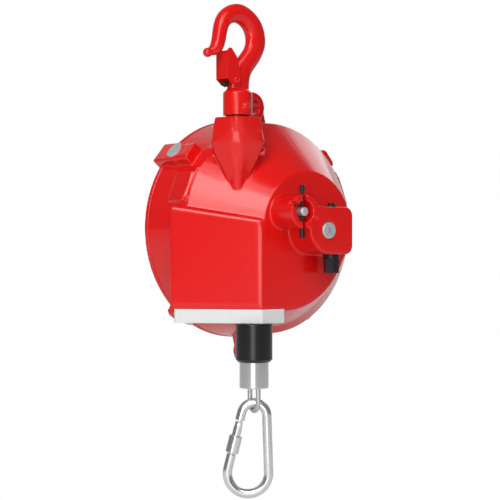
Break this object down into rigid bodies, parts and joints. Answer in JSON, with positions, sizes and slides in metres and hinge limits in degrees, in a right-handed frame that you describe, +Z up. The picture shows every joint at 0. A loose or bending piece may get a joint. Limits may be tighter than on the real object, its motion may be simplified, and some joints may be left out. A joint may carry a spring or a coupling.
{
  "type": "tool balancer",
  "caption": "Spring balancer that carries a hand tool on a rope: swivel hook with latch, cast housing with a conical drum, rubber stop and carabiner.",
  "frame": {"origin": "saddle of the suspension hook, on the swivel's vertical axis", "axes": "+Z up, +X along the drum axis from the rear cover to the worm box, the rope leaves the drum on its -Y side"},
  "size_m": [0.1712, 0.2348, 0.4901],
  "materials": {
    "red_paint": "gloss",
    "white_plastic": "satin",
    "zinc_steel": "satin",
    "bare_steel": "machined",
    "dark_steel": "blackened",
    "spring_steel": "blued",
    "bronze": "machined",
    "cast_aluminium": "cast",
    "ferrule_metal": "satin",
    "black_rubber": "gloss",
    "wire_rope": "stranded"
  },
  "bodies": {
    "hook": {"suspension_hook": "red_paint", "latch_rivet": "red_paint", "latch_spring": "dark_steel", "swivel_stud": "bare_steel", "socket_cross_pin": "zinc_steel"},
    "latch": {"hook_latch": "red_paint"},
    "housing": {"front_housing": "red_paint", "rear_cover": "red_paint", "cover_screws": "zinc_steel", "ear_dowels": "zinc_steel", "rope_guide_plate": "white_plastic", "guide_plate_screws": "zinc_steel", "tower_bush": "bronze", "thrust_washer": "dark_steel", "swivel_pin": "dark_steel", "spindle_front_bush": "bronze", "spindle_rear_bush": "bronze", "worm_bush": "bronze", "grease_plug": "zinc_steel"},
    "load_line": {"rubber_bumper": "black_rubber", "rope_ferrule": "ferrule_metal", "rope_loop": "wire_rope", "rope_lead": "wire_rope"},
    "drum": {"rope_drum": "cast_aluminium", "rope_windings": "wire_rope", "spring_cover": "zinc_steel", "drum_rear_bush": "bronze", "drum_bearing": "bare_steel"},
    "arbor": {"spindle": "bare_steel", "mainspring": "spring_steel", "worm_wheel": "bronze", "wheel_key": "bare_steel", "spindle_circlip": "dark_steel"},
    "worm_shaft": {"worm": "dark_steel", "worm_circlip": "dark_steel"},
    "lock": {"lock_pin": "zinc_steel", "lock_bar": "zinc_steel"},
    "carabiner": {"carabiner_body": "zinc_steel"},
    "gate": {"carabiner_gate": "zinc_steel", "gate_rivet": "zinc_steel"},
    "sleeve": {"screw_sleeve": "zinc_steel"}
  },
  "joints": [
    {"name": "hook_latch_open", "type": "hinge", "parent": "hook", "child": "latch", "pos_m": [0, -0.009, -0.0585], "axis": [-1, 0, 0], "range_deg": [0, 36], "stiffness_Nm_per_rad": 0.05, "springref_deg": -11.46},
    {"name": "hook_swivel", "type": "hinge", "parent": "hook", "child": "housing", "pos_m": [0, 0, -0.0925], "axis": [0, 0, 1], "continuous": true},
    {"name": "rope_pull", "type": "slide", "parent": "housing", "child": "load_line", "axis": [0, 0, -1], "range_m": [0, 1.5], "stiffness_N_per_m": 20, "springref_m": -1, "deforming": ["rope_lead"]},
    {"name": "drum_spin", "type": "hinge", "parent": "housing", "child": "drum", "pos_m": [0.0148, 0.0674, -0.2035], "axis": [1, 0, 0], "range_deg": [0, 1260]},
    {"name": "tension_adjust", "type": "hinge", "parent": "housing", "child": "arbor", "pos_m": [0.0458, 0.0674, -0.2035], "axis": [1, 0, 0], "continuous": true},
    {"name": "worm_spin", "type": "hinge", "parent": "housing", "child": "worm_shaft", "pos_m": [0.0458, 0.0834, -0.2035], "axis": [0, 0, 1], "continuous": true},
    {"name": "lock_pull", "type": "slide", "parent": "housing", "child": "lock", "axis": [-1, 0, 0], "range_m": [0, 0.009]},
    {"name": "carabiner_swing", "type": "hinge", "parent": "load_line", "child": "carabiner", "pos_m": [0.0148, 0.0091, -0.3897], "axis": [0.788, -0.6157, 0], "range_deg": [-35, 35]},
    {"name": "gate_open", "type": "hinge", "parent": "carabiner", "child": "gate", "pos_m": [0.0055, -0.0028, -0.39834], "axis": [0.788, -0.6157, 0], "range_deg": [0, 24], "stiffness_Nm_per_rad": 0.05, "springref_deg": -11.46},
    {"name": "sleeve_unscrew", "type": "slide", "parent": "gate", "child": "sleeve", "axis": [0.1472, 0.1885, 0.971], "range_m": [0, 0.009]}
  ],
  "couplings": [
    {"joint": "drum_spin", "follows": "rope_pull", "rad_per_m": 14.661},
    {"joint": "worm_spin", "follows": "tension_adjust", "ratio": -18}
  ]
}
